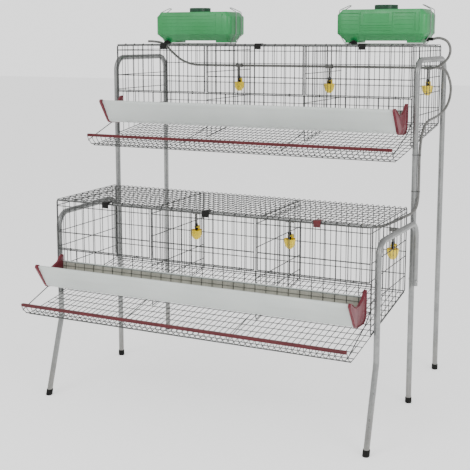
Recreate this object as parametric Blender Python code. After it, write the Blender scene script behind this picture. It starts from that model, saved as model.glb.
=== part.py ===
"""Two-tier laying-hen cage: tube frame, wire cages, feed troughs, drinkers and water tanks."""
import bmesh
import bpy
import math
from mathutils import Vector

# Overall sizes (metres).
CAGE_WIDTH = 1.492
CAGE_DEPTH = 0.500
TIERS = (("lower", -0.529, 0.905), ("upper", 0.0, 1.598))
FLOOR_REAR_DROP = 0.381
FLOOR_LOW = (-0.214, -0.475)
STRIP_AT = (-0.273, -0.425)
BAR = 0.004
GAP = 0.0005

# Tube frame.
TUBE_R = 0.0125
TUBE_CLEAR = 0.0015
TUBE_X = CAGE_WIDTH / 2 + TUBE_CLEAR + TUBE_R
BEND_R = 0.065
TALL_FRONT_Y, TALL_REAR_Y, TALL_TOP = 0.0175, 0.5055, 1.532
LOW_FRONT_Y, LOW_TOP, LOW_LEG_END = -0.491, 0.8325, 0.548
SPLAY_Z, SPLAY_FOOT_Y = 0.346, -0.605
LEG_PITCH = 2 * TUBE_R + 0.0008
LEG_SIDE_STEP = {"left": 0.0, "right": 0.019}
BOLT_Z = 0.570
BOLT_R = 0.0035
FOOT_WALL, FOOT_H, FOOT_FLOOR = 0.003, 0.026, 0.0035
FOOT_R = TUBE_R + FOOT_WALL

# Fronts.
DOOR_DROP = 0.225
DOOR_ROWS = (0.030, 0.150)
GRILLE_BOTTOM = 0.345
LATCH_OFFSET = 0.020

# Feed trough, as (forward of the cage front, below the cage top).
TROUGH_X = 0.006
TROUGH_HALF = CAGE_WIDTH / 2 - 0.034
TROUGH_LIP = (-0.195, -0.268)
TROUGH_BOTTOM_FRONT = (-0.126, -0.372)
TROUGH_BOTTOM_REAR = (-0.036, -0.378)
TROUGH_REAR = (-0.0075, -0.278)
TROUGH_WALL = 0.003
CAP_THICK = 0.012

# Water: line height below the cage top, distance behind the cage front.
LINE_BACK = 0.385
LINE_DROP = {"lower": 0.085, "upper": 0.108}
CUP_STEP = {"lower": (0.0187, -0.0057, -0.029), "upper": (-0.0093, -0.0207, -0.033)}
HOSE_R = 0.006
CUP_R = 0.023

# Tanks: centre x, centre y.
TANKS = (("left", -0.452, 0.330), ("right", 0.535, 0.290))
TANK_LENGTH, TANK_DEPTH, TANK_HEIGHT = 0.424, 0.180, 0.152
TANK_WALL, TANK_LIFT = 0.004, 0.007
NECK_R, NECK_H = 0.047, 0.014
SCREW_CAP_R, SCREW_CAP_H = 0.0535, 0.021

HALF = CAGE_WIDTH / 2
INNER = HALF - BAR - GAP
DIVIDER_X = (-CAGE_WIDTH / 6, CAGE_WIDTH / 6)
CUP_SIDE_X = (*DIVIDER_X, HALF)
SLOPE = (-FLOOR_REAR_DROP - FLOOR_LOW[1]) / (CAGE_DEPTH - 0.006 - FLOOR_LOW[0])

for stale in list(bpy.data.objects):
    bpy.data.objects.remove(stale, do_unlink=True)


def material(name, colour, roughness, metallic=0.0):
    made = bpy.data.materials.new(name)
    made.use_nodes = True
    shader = made.node_tree.nodes["Principled BSDF"]
    shader.inputs["Base Color"].default_value = (*colour, 1.0)
    shader.inputs["Roughness"].default_value = roughness
    shader.inputs["Metallic"].default_value = metallic
    return made


LOOKS = {
    "tube": ((0.42, 0.43, 0.43), 0.38, 0.85),
    "wire": ((0.36, 0.36, 0.36), 0.42, 0.80),
    "trough": ((0.66, 0.69, 0.67), 0.35, 0.0),
    "red": ((0.20, 0.025, 0.035), 0.40, 0.0),
    "black": ((0.02, 0.02, 0.02), 0.50, 0.0),
    "green": ((0.07, 0.38, 0.16), 0.42, 0.0),
    "dark_green": ((0.015, 0.15, 0.07), 0.45, 0.0),
    "yellow": ((0.78, 0.58, 0.06), 0.40, 0.0),
    "hose": ((0.25, 0.25, 0.24), 0.50, 0.0),
    "bolt": ((0.45, 0.45, 0.45), 0.35, 0.90),
}


def new_object(name, data, look, origin):
    made = bpy.data.objects.new(name, data)
    made.location = origin
    bpy.context.scene.collection.objects.link(made)
    data.materials.append(material(name, *LOOKS[look]))
    return made


def finish(name, bm, look, origin=(0.0, 0.0, 0.0)):
    """Close a bmesh built in world coordinates into an object standing on its own origin."""
    bmesh.ops.translate(bm, verts=bm.verts, vec=-Vector(origin))
    bmesh.ops.recalc_face_normals(bm, faces=bm.faces)
    mesh = bpy.data.meshes.new(name)
    bm.to_mesh(mesh)
    bm.free()
    return new_object(name, mesh, look, origin)


def loft(rings, closed=False):
    """Skin a list of equal rings of points, capped at both ends unless it runs in a loop."""
    bm = bmesh.new()
    loops = [[bm.verts.new(point) for point in ring] for ring in rings]
    sides = len(rings[0])
    pairs = list(zip(loops, loops[1:])) + ([(loops[-1], loops[0])] if closed else [])
    for low, high in pairs:
        for k in range(sides):
            bm.faces.new((low[k], low[(k + 1) % sides], high[(k + 1) % sides], high[k]))
    if not closed:
        bm.faces.new(loops[0][::-1])
        bm.faces.new(loops[-1])
    return bm


def turned(profile, centre, sides=16):
    """Rings for a shape turned about a vertical axis from (radius, height) pairs."""
    x, y, z = centre
    return [[(x + r * math.cos(a), y + r * math.sin(a), z + h)
             for a in (2 * math.pi * (k + 0.5) / sides for k in range(sides))] for r, h in profile]


def prism(outline, x0, x1, chamfer=0.0):
    """A (y, z) outline run from x0 to x1, drawn in a little at both faces."""
    cy = sum(p[0] for p in outline) / len(outline)
    cz = sum(p[1] for p in outline) / len(outline)

    def ring(x, inset):
        if not inset:
            return [(x, y, z) for y, z in outline]
        points = []
        for y, z in outline:
            away = math.hypot(y - cy, z - cz)
            points.append((x, y - (y - cy) * inset / away, z - (z - cz) * inset / away))
        return points

    if not chamfer:
        return loft([ring(x0, 0), ring(x1, 0)])
    return loft([ring(x0, chamfer), ring(x0 + chamfer, 0), ring(x1 - chamfer, 0), ring(x1, chamfer)])


def rounded(corners, steps=5):
    """A 3D path through corners given as (point, bend radius)."""
    path = []
    for k, (point, radius) in enumerate(corners):
        point = Vector(point)
        if not radius:
            path.append(point)
            continue
        back = (Vector(corners[k - 1][0]) - point).normalized()
        ahead = (Vector(corners[(k + 1) % len(corners)][0]) - point).normalized()
        half = back.angle(ahead) / 2
        centre = point + (back + ahead).normalized() * radius / math.sin(half)
        start = point + back * radius / math.tan(half) - centre
        end = point + ahead * radius / math.tan(half) - centre
        sweep = start.angle(end)
        for s in range(steps + 1):
            t = s / steps
            path.append(centre + (start * math.sin((1 - t) * sweep) + end * math.sin(t * sweep))
                        / math.sin(sweep))
    return path


def sweep(path, radius, sides=14, closed=False, level_end=False):
    """Rings of a round bar along a path, mitred at each point."""
    count = len(path)
    rings = []
    normal = None
    for k, point in enumerate(path):
        before = path[k - 1] if (closed or k) else None
        after = path[(k + 1) % count] if (closed or k < count - 1) else None
        into = (point - before).normalized() if before is not None else (after - point).normalized()
        out = (after - point).normalized() if after is not None else into
        if normal is None:
            normal = into.orthogonal().normalized()
        else:
            normal = (normal - into * normal.dot(into)).normalized()
        side = into.cross(normal)
        plane = (into + out).normalized()
        if level_end and after is None:
            plane = Vector((0, 0, 1))
        ring = []
        for s in range(sides):
            a = 2 * math.pi * s / sides
            offset = (normal * math.cos(a) + side * math.sin(a)) * radius
            offset -= into * offset.dot(plane) / into.dot(plane)
            ring.append(point + offset)
        rings.append(ring)
        turn = into.rotation_difference(out)
        normal = turn @ normal
    return rings


def bar_stations(centres, width=BAR):
    """Edges of bars centred on given places, and whether each space between edges is solid."""
    edges, solid = [], []
    for k, centre in enumerate(centres):
        edges += [centre - width / 2, centre + width / 2]
        solid += [True] + ([False] if k < len(centres) - 1 else [])
    return edges, solid


def wire_panel(name, across, along, point, normal, origin=(0.0, 0.0, 0.0), look="wire"):
    """A one-body wire lattice; across and along are (edges, solid) pairs of a mid-surface."""
    edges_u, solid_u = across
    edges_v, solid_v = along
    cells = {(i, j) for i in range(len(solid_u)) for j in range(len(solid_v)) if solid_u[i] or solid_v[j]}
    bm = bmesh.new()
    verts = {}

    def corner(i, j, side):
        key = (i, j, side)
        if key not in verts:
            place = Vector(point(edges_u[i], edges_v[j], j)) + Vector(normal(j)) * side * BAR / 2
            verts[key] = bm.verts.new(place)
        return verts[key]

    for i, j in sorted(cells):
        square = ((i, j), (i + 1, j), (i + 1, j + 1), (i, j + 1))
        for side in (-1, 1):
            bm.faces.new([corner(a, b, side) for a, b in square])
        neighbours = ((i, j - 1), (i + 1, j), (i, j + 1), (i - 1, j))
        for k, neighbour in enumerate(neighbours):
            if neighbour in cells:
                continue
            a, b = square[k], square[(k + 1) % 4]
            bm.faces.new((corner(*a, -1), corner(*b, -1), corner(*b, 1), corner(*a, 1)))
    return finish(name, bm, look, origin)


def folded(line):
    """Mid-line points and mitred normals for a (y, z) line with a wire panel bent along it."""
    normals = []
    for k, (y, z) in enumerate(line):
        turns = []
        for a, b in ((k - 1, k), (k, k + 1)):
            if a >= 0 and b < len(line):
                dy, dz = line[b][0] - line[a][0], line[b][1] - line[a][1]
                long = math.hypot(dy, dz)
                turns.append(Vector((0, -dz / long, dy / long)))
        mean = sum(turns, Vector()) / len(turns)
        normals.append(mean / mean.length_squared)
    return normals


def even(low, high, count):
    return [low + (high - low) * k / count for k in range(count + 1)]


def floor_height(dy):
    return FLOOR_LOW[1] + SLOPE * (dy - FLOOR_LOW[0])


def cut(target, cutter_mesh, name):
    """Take one closed shape out of another and bake the result."""
    cutter = bpy.data.objects.new(name + "_cutter", bpy.data.meshes.new(name + "_cutter"))
    bmesh.ops.recalc_face_normals(cutter_mesh, faces=cutter_mesh.faces)
    cutter_mesh.to_mesh(cutter.data)
    cutter_mesh.free()
    cutter.location = target.location
    bpy.context.scene.collection.objects.link(cutter)
    boolean = target.modifiers.new("cut", "BOOLEAN")
    boolean.operation = "DIFFERENCE"
    boolean.solver = "EXACT"
    boolean.object = cutter
    bpy.context.view_layer.update()
    baked = bpy.data.meshes.new_from_object(target.evaluated_get(bpy.context.evaluated_depsgraph_get()))
    target.modifiers.clear()
    target.data = baked
    bpy.data.objects.remove(cutter, do_unlink=True)


def bar_along(start, end, radius, sides=12):
    return loft(sweep([Vector(start), Vector(end)], radius, sides))


# Tube frames, feet and the bolts through each pair of legs.
def short_leg(side):
    """Centre of the low frame's rear leg, set against the tall frame's front leg."""
    step = LEG_SIDE_STEP[side]
    return TUBE_X + step, TALL_FRONT_Y - math.sqrt(LEG_PITCH ** 2 - step ** 2)


def build_foot(name, x, y, lean=0.0):
    slant = math.sqrt(1 + lean ** 2)
    rings = []
    for radius, height in ((FOOT_R - 0.002, 0.0), (FOOT_R, 0.002), (FOOT_R, FOOT_H),
                           (TUBE_R + GAP, FOOT_H), (TUBE_R + GAP, FOOT_FLOOR)):
        rings.append([(x + radius * math.cos(a), y + lean * height + radius * slant * math.sin(a), height)
                      for a in (2 * math.pi * k / 14 for k in range(14))])
    return finish(name, loft(rings), "black", (x, y, 0.0))


def build_frame(side):
    sign = -1 if side == "left" else 1
    x = sign * TUBE_X
    low_end = FOOT_FLOOR + GAP
    tall = rounded([((x, TALL_FRONT_Y, low_end), 0), ((x, TALL_FRONT_Y, TALL_TOP), BEND_R),
                    ((x, TALL_REAR_Y, TALL_TOP), BEND_R), ((x, TALL_REAR_Y, low_end), 0)])
    tall_frame = finish(f"frame_tall_{side}", loft(sweep(tall, TUBE_R)), "tube")
    rear_x, rear_y = short_leg(side)
    rear_x *= sign
    lean = (LOW_FRONT_Y - SPLAY_FOOT_Y) / SPLAY_Z
    foot_y = SPLAY_FOOT_Y + lean * low_end
    low = rounded([((rear_x, rear_y, LOW_LEG_END), 0), ((rear_x, rear_y, LOW_TOP), BEND_R),
                   ((x, LOW_FRONT_Y, LOW_TOP), BEND_R), ((x, LOW_FRONT_Y, SPLAY_Z), 0.09),
                   ((x, foot_y, low_end), 0)])
    low_frame = finish(f"frame_front_{side}", loft(sweep(low, TUBE_R, level_end=True)), "tube")
    build_foot(f"foot_tall_front_{side}", x, TALL_FRONT_Y)
    build_foot(f"foot_tall_rear_{side}", x, TALL_REAR_Y)
    build_foot(f"foot_splayed_{side}", x, SPLAY_FOOT_Y, lean)

    outward = Vector((rear_x - x, rear_y - TALL_FRONT_Y, 0)).normalized()
    far = Vector((rear_x, rear_y, BOLT_Z)) + outward * TUBE_R
    near = Vector((x, TALL_FRONT_Y, BOLT_Z)) - outward * TUBE_R
    for tube in (tall_frame, low_frame):
        cut(tube, bar_along(near - outward * 0.01, far + outward * 0.01, BOLT_R + GAP), tube.name)
    steps = ((-0.0050, 0.0050), (-0.0040, 0.0065), (-0.0008, 0.0065), (-0.0008, BOLT_R))
    ends = ((0.0008, BOLT_R), (0.0008, 0.0065), (0.0040, 0.0065), (0.0050, 0.0050))
    rings = []
    for base, group in ((near, steps), (far, ends)):
        for shift, radius in group:
            centre = base + outward * shift
            level = outward.cross(Vector((0, 0, 1)))
            rings.append([centre + (level * math.cos(a) + Vector((0, 0, 1)) * math.sin(a)) * radius
                          for a in (2 * math.pi * k / 12 for k in range(12))])
    finish(f"clamp_bolt_{side}", loft(rings), "bolt", tuple((near + far) / 2))


for frame_side in ("left", "right"):
    build_frame(frame_side)


# Cage panels of one tier.
def build_cage(tier, front, top):
    columns = bar_stations(even(-INNER + BAR / 2, INNER - BAR / 2, 9))
    back = CAGE_DEPTH - BAR / 2
    rows = [0.006, 0.165, 0.330]
    line, solid = [], []
    for centre in rows:
        line += [(centre - BAR / 2, -BAR / 2), (centre + BAR / 2, -BAR / 2)]
        solid += [True, False]
    line += [(back, -BAR / 2)]
    solid += [True]
    for drop, last in ((0.150, False), (0.265, False), (FLOOR_REAR_DROP, True)):
        if not last:
            line += [(back, -drop + BAR / 2), (back, -drop - BAR / 2)]
            solid = solid[:-1] + [False, True, False] if drop == 0.150 else solid + [True, False]
        else:
            line += [(back, -drop + BAR), (back, -drop)]
            solid += [True]
    normals = folded(line)
    wire_panel(f"roof_back_{tier}", columns, (line, solid),
               lambda u, s, j: (u, front + s[0], top + s[1]), lambda j: normals[j])

    def wall(name, x, y0, y1, z_top, drops):
        across = bar_stations([y0 + BAR / 2, 0.167, 0.333, y1 - BAR / 2])
        marks, flags = bar_stations([BAR / 2] + drops + [1.0 + BAR / 2])

        def place(u, s, j):
            if s < 0.9:
                return x, front + u, top - z_top - s
            return x, front + u, top + floor_height(u) + BAR / 2 + 0.001 + BAR - (s - 1.0)

        wire_panel(name, across, (marks, flags), place, lambda j: (1, 0, 0))

    for side, sign in (("left", -1), ("right", 1)):
        wall(f"side_{side}_{tier}", sign * (HALF - BAR / 2), 0.0, CAGE_DEPTH, 0.0, [0.150, 0.265])
        wall(f"divider_{side}_{tier}", DIVIDER_X[0 if sign < 0 else 1], BAR / 2 + 0.002,
             CAGE_DEPTH - BAR - 0.0015, BAR + 0.001, [0.280])

    floor_line, floor_solid = [], []
    for centre in (CAGE_DEPTH - 0.008, 0.360, 0.230, 0.100, -0.030, -0.150):
        floor_line += [(centre + BAR / 2, floor_height(centre + BAR / 2)),
                       (centre - BAR / 2, floor_height(centre - BAR / 2))]
        floor_solid += [True, False]
    floor_line += [FLOOR_LOW, (-0.241, -0.468), (-0.262, -0.450), (-0.270, -0.438), (STRIP_AT[0], -0.434)]
    floor_solid += [False, False, False, True]
    floor_normals = folded(floor_line)
    wire_panel(f"floor_{tier}", columns, (floor_line, floor_solid),
               lambda u, s, j: (u, front + s[0], top + s[1]), lambda j: floor_normals[j])

    y, z = front + STRIP_AT[0], top + STRIP_AT[1]
    strip = [(y - 0.0055, z - 0.006), (y + 0.0055, z - 0.006), (y + 0.007, z), (y + 0.0045, z + 0.0075),
             (y - 0.0045, z + 0.0075), (y - 0.007, z)]
    finish(f"egg_strip_{tier}", prism(strip, -INNER, INNER), "red", (0, y, z))

    # Front: a fixed lower grille, three doors and their latches.
    low_marks = [DOOR_DROP + 0.004, DOOR_DROP + 0.004 + BAR, GRILLE_BOTTOM - BAR, GRILLE_BOTTOM]
    wire_panel(f"front_grille_{tier}", columns, (low_marks, [True, False, True]),
               lambda u, s, j: (u, front, top - s), lambda j: (0, 1, 0))
    width = CAGE_WIDTH / 3
    for k, place in enumerate(("left", "middle", "right")):
        middle = (k - 1) * width
        half = width / 2 - 0.006
        across = bar_stations(even(middle - half + BAR / 2, middle + half - BAR / 2, 4))
        marks, flags = bar_stations([0.006] + list(DOOR_ROWS) + [DOOR_DROP])
        wire_panel(f"door_{place}_{tier}", across, (marks, flags),
                   lambda u, s, j: (u, front, top - s), lambda j: (0, 1, 0),
                   (middle, front, top - DOOR_DROP))
        x = middle + LATCH_OFFSET
        outline = [(front - 0.0075, top - 0.022), (front - 0.0032, top - 0.022),
                   (front - 0.0032, top + 0.0008), (front + 0.028, top + 0.0008),
                   (front + 0.031, top + 0.003), (front + 0.028, top + 0.0055),
                   (front - 0.005, top + 0.0055), (front - 0.0075, top + 0.003)]
        finish(f"latch_{place}_{tier}", prism(outline, x - 0.015, x + 0.015), "black",
               (x, front, top - 0.006))


# Feed trough with an end cap at each end.
def build_trough(tier, front, top):
    def at(point, dy=0.0, dz=0.0):
        return front + point[0] + dy, top + point[1] + dz

    wall = TROUGH_WALL
    outer = [at(TROUGH_LIP), at(TROUGH_BOTTOM_FRONT, -0.018, 0.018), at(TROUGH_BOTTOM_FRONT, 0.004),
             at(TROUGH_BOTTOM_REAR, -0.006), at(TROUGH_BOTTOM_REAR, 0.024, 0.018), at(TROUGH_REAR)]
    inner = [at(TROUGH_REAR, -wall), at(TROUGH_BOTTOM_REAR, 0.024 - wall, 0.020),
             at(TROUGH_BOTTOM_REAR, -0.008, wall), at(TROUGH_BOTTOM_FRONT, 0.006, wall),
             at(TROUGH_BOTTOM_FRONT, -0.018 + wall, 0.020), at(TROUGH_LIP, wall + 0.001, 0.0),
             at(TROUGH_LIP, 0.009, 0.001), at(TROUGH_LIP, 0.008, 0.004), at(TROUGH_LIP, 0.0, 0.004)]
    origin = (TROUGH_X, *at(TROUGH_BOTTOM_FRONT, 0.040, 0.05))
    body = prism(outer + inner, TROUGH_X - TROUGH_HALF, TROUGH_X + TROUGH_HALF)
    finish(f"trough_{tier}", body, "trough", origin)
    shape = [at(TROUGH_LIP, -0.011, -0.004), at(TROUGH_LIP, -0.006, 0.008), at(TROUGH_LIP, 0.006, 0.007),
             at(TROUGH_LIP, 0.040, -0.014), at(TROUGH_LIP, 0.066, -0.026), at(TROUGH_LIP, 0.100, -0.026),
             at(TROUGH_REAR, -0.040, 0.000), at(TROUGH_REAR, -0.022, 0.020), at(TROUGH_REAR, -0.008, 0.027),
             at(TROUGH_REAR, 0.0025, 0.022), at(TROUGH_REAR, 0.0030, -0.070),
             at(TROUGH_BOTTOM_REAR, 0.027, 0.016), at(TROUGH_BOTTOM_REAR, -0.004, -0.004),
             at(TROUGH_BOTTOM_FRONT, 0.003, -0.004), at(TROUGH_BOTTOM_FRONT, -0.021, 0.015)]
    for side, sign in (("left", -1), ("right", 1)):
        x0 = TROUGH_X + sign * (TROUGH_HALF + GAP)
        x1 = x0 + sign * CAP_THICK
        body = prism(shape, min(x0, x1), max(x0, x1))
        finish(f"trough_cap_{side}_{tier}", body, "red", (x0, origin[1], origin[2]))


# Drinker cups on drop tubes under the water line.
def build_drinkers(tier, front, top):
    y = front + LINE_BACK
    z = top - LINE_DROP[tier] - HOSE_R - GAP
    profile = ((0.0055, 0.0), (0.0055, -0.050), (0.0075, -0.052), (0.0070, -0.088), (0.0140, -0.092),
               (CUP_R - 0.0025, -0.076), (CUP_R, -0.076), (CUP_R - 0.0005, -0.084),
               (CUP_R - 0.004, -0.100), (0.011, -0.113), (0.009, -0.122))
    for place, side_x, step in zip(("left", "middle", "right"), CUP_SIDE_X, CUP_STEP[tier]):
        x = side_x + step
        finish(f"drinker_{place}_{tier}", loft(turned(profile, (x, y, z), 12)), "yellow", (x, y, z))


for tier_name, tier_front, tier_top in TIERS:
    build_cage(tier_name, tier_front, tier_top)
    build_trough(tier_name, tier_front, tier_top)
    build_drinkers(tier_name, tier_front, tier_top)


# Water tanks with screw caps, each held by a bent wire loop on the roof.
def build_tank(side, x, y):
    base = TIERS[1][2] + TANK_LIFT
    hl, hd, h = TANK_LENGTH / 2, TANK_DEPTH / 2, TANK_HEIGHT

    def box(inset, low, high, cut_corner):
        rings = []
        for z, draw in ((low, 0.034), (low + 0.042, 0.0), (high - 0.012, 0.0), (high, 0.010)):
            a, b = hl - inset - draw, hd - inset - draw * 0.35
            c = cut_corner
            rings.append([(x + px, y + py, z) for px, py in
                          ((-a + c, -b), (a - c, -b), (a, -b + c), (a, b - c),
                           (a - c, b), (-a + c, b), (-a, b - c), (-a, -b + c))])
        return loft(rings)

    tank = finish(f"tank_{side}", box(0.0, base, base + h, 0.022), "green", (x, y, base))
    neck = loft(turned(((NECK_R, h - 0.006), (NECK_R, h + NECK_H)), (x, y, base), 24))
    collar = finish("neck", neck, "green")
    union = tank.modifiers.new("neck", "BOOLEAN")
    union.operation, union.solver, union.object = "UNION", "EXACT", collar
    bpy.context.view_layer.update()
    tank.data = bpy.data.meshes.new_from_object(
        tank.evaluated_get(bpy.context.evaluated_depsgraph_get()))
    tank.modifiers.clear()
    bpy.data.objects.remove(collar, do_unlink=True)
    here = Vector((x, y, base))

    def take(shape):
        bmesh.ops.translate(shape, verts=shape.verts, vec=-here)
        cut(tank, shape, tank.name)

    take(box(TANK_WALL, base + 0.013, base + h - TANK_WALL, 0.020))
    take(loft(turned(((NECK_R - 0.0035, h - 0.012), (NECK_R - 0.0035, h + NECK_H + 0.01)), (x, y, base), 24)))
    gap = TANK_LENGTH * 0.27
    take(loft([[(x + px, y + py, base + pz) for px, pz in
                ((-gap - 0.006, -0.005), (gap + 0.006, -0.005), (gap - 0.004, 0.008), (-gap + 0.004, 0.008))]
               for py in (-hd - 0.01, hd + 0.01)]))

    top = base + h + NECK_H
    profile = ((NECK_R + 0.0008, -NECK_H + 0.001), (SCREW_CAP_R, -NECK_H + 0.001),
               (SCREW_CAP_R, SCREW_CAP_H - NECK_H - 0.003), (SCREW_CAP_R - 0.003, SCREW_CAP_H - NECK_H),
               (SCREW_CAP_R - 0.018, SCREW_CAP_H - NECK_H), (SCREW_CAP_R - 0.022, SCREW_CAP_H - NECK_H - 0.003))
    bm = loft(turned(profile, (x, y, top), 28))
    lid = finish(f"tank_cap_{side}", bm, "dark_green", (x, y, top))
    hollow = loft(turned(((NECK_R + 0.0008, -NECK_H - 0.01), (NECK_R + 0.0008, 0.0008)), (0, 0, 0), 28))
    cut(lid, hollow, lid.name)

    # Wire cradle: under the tank, up its drawn-in ends and over the top in a small hoop.
    wire = 0.0025
    low = TIERS[1][2] + wire + GAP
    shoulder, peak = base + h - 0.002, base + h + 0.020
    reach, reach_y = hl + wire + 0.002, 0.030
    corners = []
    for sx, sy, order in ((-1, -1, -1), (1, -1, 1), (1, 1, -1), (-1, 1, 1)):
        side_line = [((x + sx * (hl - 0.026), y + sy * reach_y, low), 0.010),
                     ((x + sx * reach, y + sy * reach_y, base + 0.044), 0.020),
                     ((x + sx * reach, y + sy * reach_y, shoulder), 0.008),
                     ((x + sx * (hl - 0.040), y + sy * reach_y * 0.5, peak), 0.010)]
        corners += side_line[::order]
    path = rounded(corners, 3)
    return finish(f"tank_cradle_{side}", loft(sweep(path, wire, 8, closed=True), closed=True), "wire")


for tank_side, tank_x, tank_y in TANKS:
    build_tank(tank_side, tank_x, tank_y)


# Water hoses: a smooth line through the places where each one is held.
def smooth(points, fine=0.030, coarse=0.110):
    """A curve through the points, with close steps round bends and long ones on straight runs."""
    points = [Vector(p) for p in points]
    dense = []
    for k in range(len(points) - 1):
        p0, p1, p2 = points[max(k - 1, 0)], points[k], points[k + 1]
        p3 = points[min(k + 2, len(points) - 1)]
        t0, t1 = (p2 - p0) / 2, (p3 - p1) / 2
        span = (p2 - p1).length
        t0, t1 = t0.normalized() * span, t1.normalized() * span
        for s in range(24):
            t = s / 24
            dense.append(p1 * (2 * t ** 3 - 3 * t ** 2 + 1) + t0 * (t ** 3 - 2 * t ** 2 + t)
                         + p2 * (3 * t ** 2 - 2 * t ** 3) + t1 * (t ** 3 - t ** 2))
    dense.append(points[-1])
    out, walked = [dense[0]], 0.0
    for k in range(1, len(dense) - 1):
        walked += (dense[k] - dense[k - 1]).length
        run = dense[k] - out[-1]
        turned_by = run.angle(dense[k + 1] - dense[k]) if run.length > 1e-6 else 0.0
        if walked >= coarse or (walked >= fine and turned_by > 0.02):
            out.append(dense[k])
            walked = 0.0
    if walked < fine / 2 and len(out) > 2:
        out.pop()
    out.append(dense[-1])
    return out


def build_hose(name, points):
    path = smooth(points)
    curve = bpy.data.curves.new(name, "CURVE")
    curve.dimensions = "3D"
    curve.bevel_depth = HOSE_R
    curve.bevel_resolution = 2
    curve.use_fill_caps = True
    spline = curve.splines.new("POLY")
    spline.points.add(len(path) - 1)
    for target, place in zip(spline.points, path):
        target.co = (*place, 1.0)
    return new_object(name, curve, "hose", (0.0, 0.0, 0.0))


def hose_routes():
    low_y = TIERS[0][1] + LINE_BACK
    low_z = TIERS[0][2] - LINE_DROP["lower"]
    high_y = TIERS[1][1] + LINE_BACK
    high_z = TIERS[1][2] - LINE_DROP["upper"]
    top = TIERS[1][2]
    leg = TUBE_X + TUBE_R + HOSE_R + 0.001
    end = TANKS[0][1] - TANK_LENGTH / 2
    side_y = TALL_REAR_Y - 0.010
    main = [(-TUBE_X - 0.004, TANKS[0][2] + 0.006, top + 0.013),
            (end - 0.075, TANKS[0][2] + 0.010, top + 0.013),
            (end - 0.020, TANKS[0][2] + 0.024, top + 0.002), (end + 0.022, high_y - 0.014, top - 0.040),
            (end + 0.072, high_y - 0.002, top - 0.082), (end + 0.135, high_y, high_z + 0.004),
            (end + 0.200, high_y, high_z), (0.0, high_y, high_z), (0.560, high_y, high_z),
            (0.700, high_y, high_z), (0.746, high_y + 0.012, high_z + 0.001),
            (0.782, high_y + 0.044, high_z - 0.010), (leg + 0.014, side_y - 0.032, high_z - 0.046),
            (leg + 0.018, side_y - 0.002, high_z - 0.094), (leg + 0.016, side_y - 0.008, high_z - 0.142),
            (leg + 0.011, side_y - 0.044, high_z - 0.180), (leg + 0.006, side_y - 0.098, high_z - 0.202),
            (leg + 0.004, side_y - 0.168, high_z - 0.214), (leg + 0.003, 0.250, high_z - 0.220),
            (leg + 0.002, 0.160, high_z - 0.226), (leg + 0.001, 0.098, high_z - 0.240),
            (leg, 0.054, high_z - 0.274), (leg, 0.028, high_z - 0.322), (leg, 0.018, high_z - 0.378),
            (leg, 0.018, high_z - 0.440),
            (leg, 0.018, 0.985), (leg, 0.013, 0.935), (leg - 0.003, -0.008, 0.896),
            (leg - 0.015, -0.044, 0.876), (leg - 0.036, -0.086, 0.866), (0.712, -0.122, 0.850),
            (0.664, low_y + 0.002, low_z + 0.010), (0.600, low_y, low_z + 0.001), (0.500, low_y, low_z),
            (0.0, low_y, low_z), (-0.660, low_y, low_z)]
    feed_y = TANKS[1][2]
    feed = [(TANKS[1][1] + TANK_LENGTH / 2 + 0.006, feed_y, top + 0.024),
            (TUBE_X + 0.024, feed_y + 0.002, top + 0.029), (TUBE_X + 0.058, feed_y + 0.012, top + 0.015),
            (TUBE_X + 0.071, feed_y + 0.028, top - 0.018), (TUBE_X + 0.060, feed_y + 0.044, top - 0.054),
            (TUBE_X + 0.032, feed_y + 0.058, top - 0.085), (TUBE_X - 0.006, feed_y + 0.070, high_z + 0.003),
            (TUBE_X - 0.040, feed_y + 0.078, high_z)]
    return {"hose_main": main, "hose_feed": feed}


for hose_name, hose_points in hose_routes().items():
    build_hose(hose_name, hose_points)

# Stand the whole piece over its own centre.
solids = [ob for ob in bpy.data.objects if ob.type == "MESH"]
corners_y = [(ob.location.y + v.co.y) for ob in solids for v in ob.data.vertices]
middle_y = (min(corners_y) + max(corners_y)) / 2
for ob in bpy.data.objects:
    ob.location.y -= middle_y
print("middle_y", round(middle_y, 6))
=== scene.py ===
import bpy
import math
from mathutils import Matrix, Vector


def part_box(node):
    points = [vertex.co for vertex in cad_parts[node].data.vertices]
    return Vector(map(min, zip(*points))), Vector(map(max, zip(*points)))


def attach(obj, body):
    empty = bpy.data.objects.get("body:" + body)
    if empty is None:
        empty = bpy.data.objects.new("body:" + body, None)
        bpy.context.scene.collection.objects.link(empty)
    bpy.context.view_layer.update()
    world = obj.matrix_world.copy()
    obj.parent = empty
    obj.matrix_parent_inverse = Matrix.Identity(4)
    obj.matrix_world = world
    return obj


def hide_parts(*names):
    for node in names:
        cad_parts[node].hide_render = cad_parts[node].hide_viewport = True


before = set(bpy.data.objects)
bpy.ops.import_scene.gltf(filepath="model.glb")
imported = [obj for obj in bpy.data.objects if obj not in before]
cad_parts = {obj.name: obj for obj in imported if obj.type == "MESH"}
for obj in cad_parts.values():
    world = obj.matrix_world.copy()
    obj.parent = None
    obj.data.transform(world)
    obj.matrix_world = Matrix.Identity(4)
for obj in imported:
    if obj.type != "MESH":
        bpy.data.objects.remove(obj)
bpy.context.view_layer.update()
bpy.ops.object.select_all(action="DESELECT")
print("frame loaded:", len(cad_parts), "nodes")

standBody = "cage_stand"
bodyShift = 0.144194  # the cage front stands this far behind the middle of the footprint
tiers = {}
for tierName in ("lower", "upper"):
    roofLow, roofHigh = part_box("roof_back_" + tierName)
    tiers[tierName] = {"top": roofHigh.z, "back": roofHigh.y, "front": roofHigh.y - 0.500}

# Camera
viewer = {"place": (1.8181, -3.8628, 1.6219), "turn": 0.4461, "down": 0.1460, "lens": 72.62, "shift": -0.12}
bpy.ops.object.camera_add(location=viewer["place"],
                          rotation=(math.pi / 2 - viewer["down"], 0, viewer["turn"]))
camera = bpy.context.object
camera.data.lens = viewer["lens"]
camera.data.shift_y = viewer["shift"]
camera.data.clip_end = 60
bpy.context.scene.camera = camera


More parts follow.
